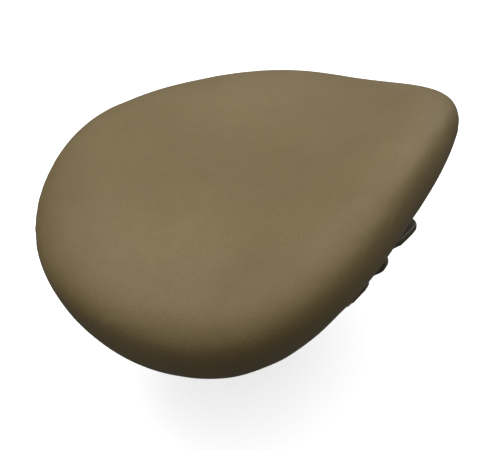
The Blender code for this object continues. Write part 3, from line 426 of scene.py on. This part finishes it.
def nylon_finish(settings):
    """Natural nylon with a little light through it."""
    finish = Finish("natural_nylon", settings.nylon, 0.48)
    finish.set("Subsurface Weight", 0.15)
    finish.set("Subsurface Scale", 0.001)
    cloud = finish.noise(300.0, 3.0)
    base = finish.blend(finish.spread(cloud, 0.35, 0.7), settings.nylon, shaded(settings.nylon, 0.82))
    return finish.wire(base, finish.spread(cloud, 0.3, 0.7, 0.42, 0.56),
                       finish.bump(finish.noise(1800.0, 2.0), 0.15, 0.00006))


def rubber_finish(settings):
    """Matt rubber with a dusty bloom."""
    finish = Finish("bead_rubber", settings.rubber, 0.78)
    bloom = finish.noise(110.0, 5.0, 0.65)
    base = finish.blend(finish.spread(bloom, 0.45, 0.8, 0.0, 0.7), settings.rubber,
                        shaded(settings.rubber, 2.6))
    return finish.wire(base, finish.spread(bloom, 0.3, 0.7, 0.70, 0.88),
                       finish.bump(finish.noise(1300.0, 3.0), 0.3, 0.0001))


def coat_nodes(look, *names):
    """Gives CAD nodes their finish."""
    for name in names:
        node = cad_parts[name]
        if not node.material_slots:
            raise RuntimeError(f"{name} has no material slot")
        for slot in node.material_slots:
            slot.material = look


# ---- the cushion ----

def signed_power(value, power):
    """A value to a power, keeping its sign."""
    return (1 if value >= 0 else -1) * abs(value) ** power


class CushionForm:
    """The cushion's surface, about its middle."""

    def __init__(self, sizes):
        self.sizes = sizes
        self.half = sizes.width / 2

    def outline(self, angle):
        at_neck = sin(angle) < 0
        fullness = NECK_FULLNESS if at_neck else CROWN_FULLNESS
        reach = self.sizes.neck_reach if at_neck else self.sizes.crown_reach
        return (self.half * signed_power(cos(angle), 2 / fullness),
                reach * signed_power(sin(angle), 2 / fullness))

    def rise(self, x, y):
        sizes = self.sizes
        neck = max(0.0, sizes.neck_rise_start - y) / (sizes.neck_rise_start + sizes.neck_reach)
        crown = max(0.0, y) / sizes.crown_reach
        side = abs(x) / self.half
        return (sizes.neck_rise * neck ** NECK_RISE_POWER
                + sizes.crown_rise * crown ** CROWN_RISE_POWER
                + sizes.side_rise * side ** SIDE_RISE_POWER * (1 + SIDE_RISE_LEAN * y / self.half))

    def top(self, x, y, share):
        edge = max(0.0, 1 - share ** TOP_EDGE_POWER) ** (1 / TOP_EDGE_ROUND)
        lean = 1 + TOP_LEAN * y / self.half + TOP_SIDE_THIN * (x / self.half) ** 2
        height = self.rise(x, y)
        return EDGE_FOLLOW * height + ((1 - EDGE_FOLLOW) * height + self.sizes.top_padding * lean) * edge

    def under(self, x, y, share):
        edge = max(0.0, 1 - share ** BELOW_EDGE_POWER) ** (1 / BELOW_EDGE_ROUND)
        lean = 1 + BELOW_LEAN * y / self.half
        return EDGE_FOLLOW * self.rise(x, y) - self.sizes.lower_padding * lean * edge

    def pan(self, x, y):
        lean = 1 + BELOW_LEAN * y / self.half
        return max(EDGE_FOLLOW * self.rise(x, y) - self.sizes.lower_padding * lean + PAN_LIFT,
                   -PAN_FLAT_DEPTH)

    def ring(self, share, height):
        points = []
        for step in range(GUIDE_SIDES):
            x, y = self.outline(tau * step / GUIDE_SIDES)
            x, y = x * share, y * share
            points.append(Vector((x, y, height(x, y, share))))
        return points

    def rings(self):
        """Over the top, round the edge, up the tuck and in over the pan."""
        made = []
        for step in range(1, GUIDE_TOP_RINGS + 1):
            made.append(self.ring(sin(step / GUIDE_TOP_RINGS * pi / 2), self.top))
        lip = self.sizes.lip_share
        for step in range(1, GUIDE_SIDE_RINGS + 1):
            made.append(self.ring(1 - (1 - lip) * (step / GUIDE_SIDE_RINGS) ** TUCK_CURVE, self.under))
        made.append(self.ring(lip, lambda x, y, share: self.pan(x, y) + TUCK_TOP * PAN_THICKNESS))
        roof = PAN_THICKNESS + ROOF_CLEARANCE
        for step in range(GUIDE_ROOF_RINGS):
            share = lip * (1 - step / GUIDE_ROOF_RINGS)
            made.append(self.ring(share, lambda x, y, share: self.pan(x, y) + roof))
        return made


def guide_mesh(form, middle):
    """A dense closed mesh of the cushion's surface, which the skin is laid on."""
    shape = bmesh.new()
    rings = [[shape.verts.new(point + middle) for point in ring] for ring in form.rings()]
    for first, second in zip(rings, rings[1:]):
        for step in range(GUIDE_SIDES):
            after = (step + 1) % GUIDE_SIDES
            shape.faces.new((first[step], first[after], second[after], second[step]))
    crest = shape.verts.new(middle + Vector((0, 0, form.top(0, 0, 0))))
    base = shape.verts.new(middle + Vector((0, 0, form.pan(0, 0) + PAN_THICKNESS + ROOF_CLEARANCE)))
    for ring, pole in ((rings[0], crest), (rings[-1], base)):
        for step in range(GUIDE_SIDES):
            shape.faces.new((ring[step], ring[(step + 1) % GUIDE_SIDES], pole))
    bmesh.ops.recalc_face_normals(shape, faces=shape.faces)
    mesh = bpy.data.meshes.new("cushion_guide")
    shape.to_mesh(mesh)
    shape.free()
    mesh.shade_smooth()
    guide = bpy.data.objects.new("cushion_guide", mesh)
    bpy.context.scene.collection.objects.link(guide)
    return guide


def laid_on(piece, guide, offset):
    """Moves a piece's points onto the guide, a little inside it."""
    step = piece.modifiers.new("lay", "SHRINKWRAP")
    step.target = guide
    step.wrap_method = "NEAREST_SURFACEPOINT"
    step.wrap_mode = "ON_SURFACE"
    keep_modifiers(piece)
    if offset:
        mesh = piece.data
        normals = [vert.normal.copy() for vert in mesh.vertices]
        for vert, normal in zip(mesh.vertices, normals):
            vert.co -= normal * offset


def pressed_out(piece, sizes, lip_height):
    """Lets foam pressure fill the skin, as cloth, and keeps the move short."""
    rest = [vert.co.copy() for vert in piece.data.vertices]
    cloth = piece.modifiers.new("fill", "CLOTH")
    cloth.settings.use_pressure = True
    cloth.settings.uniform_pressure_force = sizes.pressure
    cloth.settings.mass = SKIN_MASS
    cloth.settings.tension_stiffness = SKIN_STRETCH
    cloth.settings.compression_stiffness = SKIN_STRETCH
    cloth.settings.shear_stiffness = SKIN_SHEAR
    cloth.settings.bending_stiffness = SKIN_BENDING
    cloth.settings.effector_weights.gravity = 0
    cloth.collision_settings.use_collision = False
    cloth.point_cache.frame_start = 1
    cloth.point_cache.frame_end = SETTLE_FRAMES
    for step in range(1, SETTLE_FRAMES + 1):
        bpy.context.scene.frame_set(step)
    graph = bpy.context.evaluated_depsgraph_get()
    filled = [vert.co.copy() for vert in piece.evaluated_get(graph).data.vertices]
    piece.modifiers.remove(cloth)
    bpy.context.scene.frame_set(1)
    for vert, start, end in zip(piece.data.vertices, rest, filled):
        move = end - start
        if move.length > sizes.swell:
            move *= sizes.swell / move.length
        above = min(1.0, max(0.0, (start.z - lip_height(start)) / LIP_FADE))
        vert.co = start + move * above


def make_cushion(sizes, look):
    """The stuffed skin: laid on its form, filled by the foam, then smoothed."""
    form = CushionForm(sizes)
    rings = form.rings()
    lowest = min(point.z for ring in rings for point in ring)
    middle = Vector((0, SKIN_LOW.y + sizes.neck_reach, SKIN_LOW.z - lowest))
    guide = guide_mesh(form, middle)
    skin = bpy.data.objects.new("cushion_skin", guide.data.copy())
    bpy.context.scene.collection.objects.link(skin)
    step = skin.modifiers.new("even", "REMESH")
    step.mode = "VOXEL"
    step.voxel_size = sizes.cell
    keep_modifiers(skin)
    laid_on(skin, guide, 0.0)
    laid_on(skin, guide, sizes.shrink)
    pressed_out(skin, sizes, lambda point: (middle.z + form.under(point.x, point.y - middle.y, 1.0)
                                            - LIP_DEPTH))
    taut = skin.modifiers.new("taut", "SMOOTH")
    taut.factor = TAUT_FACTOR
    taut.iterations = TAUT_PASSES
    keep_modifiers(skin)
    smooth = skin.modifiers.new("smooth", "SUBSURF")
    smooth.levels = 1
    smooth.render_levels = 1
    keep_modifiers(skin)
    bpy.data.objects.remove(guide)
    skin.data.materials.clear()
    skin.data.materials.append(look)
    select_only(skin)
    bpy.ops.object.shade_smooth()
    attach(skin, "pad")
    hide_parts("cover", "foam_core")
    return skin


# ---- operators ----

def settings_of(context):
    return context.scene.head_cradle


class CRADLE_OT_cushion(bpy.types.Operator):
    """Model the padded cushion in its seamless skin"""
    bl_idname = "cradle.cushion"
    bl_label = "Cushion"

    def execute(self, context):
        settings = settings_of(context)
        make_cushion(settings.cushion, skin_finish(settings.skin))
        return {"FINISHED"}


class CRADLE_OT_underside(bpy.types.Operator):
    """Finish the backing pan, its bead and its vent"""
    bl_idname = "cradle.underside"
    bl_label = "Underside"

    def execute(self, context):
        hardware = settings_of(context).hardware
        coat_nodes(plastic_finish("pan_plastic", hardware.plastic, 0.55, 1100.0),
                   "backing_pan", "breather_vent")
        coat_nodes(rubber_finish(hardware), "edge_bead", "stop_bumper")
        return {"FINISHED"}


class CRADLE_OT_bracket(bpy.types.Operator):
    """Finish the tilting bracket and its fasteners"""
    bl_idname = "cradle.bracket"
    bl_label = "Bracket"

    def execute(self, context):
        hardware = settings_of(context).hardware
        coat_nodes(paint_finish(hardware), "bracket")
        screws = [f"bracket_screw_{number}" for number in range(1, 5)]
        nuts = [f"t_nut_{number}" for number in range(1, 5)]
        coat_nodes(plated_finish(hardware), "upper_axle", "wave_spring", "barrel_pin", "lower_axle",
                   "lock_nut", "disc_spring_1", "disc_spring_2", "gib_plate", "knob_cap", "clamp_screw",
                   *screws, *nuts)
        return {"FINISHED"}


class CRADLE_OT_lever(bpy.types.Operator):
    """Finish the quick-release lever and its pressure washer"""
    bl_idname = "cradle.lever"
    bl_label = "Lever"

    def execute(self, context):
        hardware = settings_of(context).hardware
        coat_nodes(plastic_finish("lever_plastic", hardware.lever, 0.42, 1500.0), "cam_lever")
        coat_nodes(plastic_finish("washer_plastic", hardware.plastic, 0.5, 1500.0), "cam_washer")
        return {"FINISHED"}


class CRADLE_OT_link(bpy.types.Operator):
    """Finish the link and its bushes and washers"""
    bl_idname = "cradle.link"
    bl_label = "Link"

    def execute(self, context):
        hardware = settings_of(context).hardware
        coat_nodes(cast_finish(hardware), "link_arm", "clamp_block")
        coat_nodes(brass_finish(hardware), "upper_bush", "lower_bush", "thread_insert")
        washers = [f"{place}_washer_{number}" for place in ("upper", "lower") for number in (1, 2)]
        coat_nodes(nylon_finish(hardware), *washers)
        return {"FINISHED"}


class CRADLE_OT_knob(bpy.types.Operator):
    """Finish the clamp's hand knob"""
    bl_idname = "cradle.knob"
    bl_label = "Knob"

    def execute(self, context):
        hardware = settings_of(context).hardware
        coat_nodes(plastic_finish("knob_plastic", hardware.plastic, 0.48, 1300.0), "clamp_knob")
        return {"FINISHED"}


def aimed(location, target):
    """A turn that looks from one place to another."""
    return (target - location).to_track_quat("-Z", "Y").to_euler()


def add_light(name, target, offset, size, power, colour):
    """A square soft light that stands off the target and faces it."""
    data = bpy.data.lights.new(name, "AREA")
    data.shape = "SQUARE"
    data.size = size
    data.energy = power
    data.color = colour
    made = bpy.data.objects.new(name, data)
    made.location = target + offset
    made.rotation_euler = aimed(made.location, target)
    bpy.context.scene.collection.objects.link(made)


class CRADLE_OT_stage(bpy.types.Operator):
    """Set the camera, the soft lights and the pale floor"""
    bl_idname = "cradle.stage"
    bl_label = "Stage"

    def execute(self, context):
        stage = settings_of(context).stage
        cushion = settings_of(context).cushion
        form = CushionForm(cushion)
        lowest = min(point.z for ring in form.rings() for point in ring)
        target = Vector((0, SKIN_LOW.y + cushion.neck_reach, SKIN_LOW.z - lowest))
        back = Vector((sin(stage.azimuth) * cos(stage.elevation),
                       -cos(stage.azimuth) * cos(stage.elevation), sin(stage.elevation)))
        data = bpy.data.cameras.new("camera")
        data.lens = stage.lens
        data.sensor_width = 36.0
        data.shift_x = stage.shift_x
        data.shift_y = stage.shift_y
        data.clip_start = 0.01
        camera = bpy.data.objects.new("camera", data)
        camera.location = target + back * stage.distance
        camera.rotation_euler = aimed(camera.location, target)
        context.scene.collection.objects.link(camera)
        context.scene.camera = camera
        right = Vector((cos(stage.azimuth), sin(stage.azimuth), 0))
        away = Vector((-sin(stage.azimuth), cos(stage.azimuth), 0))
        up = Vector((0, 0, 1))
        white = (1.0, 1.0, 1.0)
        add_light("key_light", target, -0.5 * right + 0.25 * away + 1.1 * up, KEY_SIZE,
                  stage.key, (1.0, 0.99, 0.97))
        add_light("rim_light", target, 0.5 * right + 1.0 * away + 0.7 * up, SIDE_LIGHT_SIZE,
                  stage.key * RIM_SHARE, white)
        add_light("fill_light", target, -0.9 * right - 0.8 * away, SIDE_LIGHT_SIZE,
                  stage.key * FILL_SHARE, white)
        self.make_floor(context, stage)
        self.make_room(context, stage)
        context.scene.view_settings.view_transform = "Standard"
        return {"FINISHED"}

    def make_floor(self, context, stage):
        bpy.ops.object.select_all(action="DESELECT")
        bpy.ops.mesh.primitive_plane_add(size=FLOOR_SIZE, location=(0, 0, CAD_LOW.z - FLOOR_DROP))
        floor = context.object
        floor.name = "floor"
        finish = Finish("floor_paper", stage.floor, 0.9)
        finish.set("Specular IOR Level", 0.0)
        finish.set("Emission Color", (1.0, 1.0, 1.0, 1))
        finish.set("Emission Strength", stage.floor_glow)
        floor.data.materials.append(finish.look)
        floor.visible_glossy = False
        floor.visible_diffuse = False

    def make_room(self, context, stage):
        world = bpy.data.worlds.new("soft_room")
        world.use_nodes = True
        context.scene.world = world
        tree = world.node_tree
        background = tree.nodes["Background"]
        place = tree.nodes.new("ShaderNodeTexCoord")
        split = tree.nodes.new("ShaderNodeSeparateXYZ")
        fade = tree.nodes.new("ShaderNodeMapRange")
        fade.interpolation_type = "SMOOTHSTEP"
        fade.inputs["From Min"].default_value = HORIZON_LOW
        fade.inputs["From Max"].default_value = HORIZON_HIGH
        fade.inputs["To Min"].default_value = stage.ground
        fade.inputs["To Max"].default_value = stage.sky
        tree.links.new(place.outputs["Generated"], split.inputs["Vector"])
        tree.links.new(split.outputs["Z"], fade.inputs["Value"])
        tree.links.new(fade.outputs["Result"], background.inputs["Strength"])
        background.inputs["Color"].default_value = (1.0, 1.0, 1.0, 1)


STEPS = (CRADLE_OT_cushion, CRADLE_OT_underside, CRADLE_OT_bracket, CRADLE_OT_lever, CRADLE_OT_link,
         CRADLE_OT_knob, CRADLE_OT_stage)


class CRADLE_PT_panel(bpy.types.Panel):
    """Buttons for each group of pieces"""
    bl_idname = "CRADLE_PT_panel"
    bl_label = "Head Cradle"
    bl_space_type = "VIEW_3D"
    bl_region_type = "UI"
    bl_category = "Head Cradle"

    def draw(self, context):
        for step in STEPS:
            self.layout.operator(step.bl_idname)


CLASSES = (CushionSizes, SkinFinish, HardwareFinish, StageSettings, HeadCradleSettings,
           *STEPS, CRADLE_PT_panel)


def register():
    for made in CLASSES:
        bpy.utils.register_class(made)
    bpy.types.Scene.head_cradle = PointerProperty(type=HeadCradleSettings)


def unregister():
    del bpy.types.Scene.head_cradle
    for made in reversed(CLASSES):
        bpy.utils.unregister_class(made)


def main():
    register()
    for step in STEPS:
        group, name = step.bl_idname.split(".")
        if getattr(getattr(bpy.ops, group), name)() != {"FINISHED"}:
            raise RuntimeError(f"{step.bl_label} did not finish")


if __name__ == "__main__":
    main()
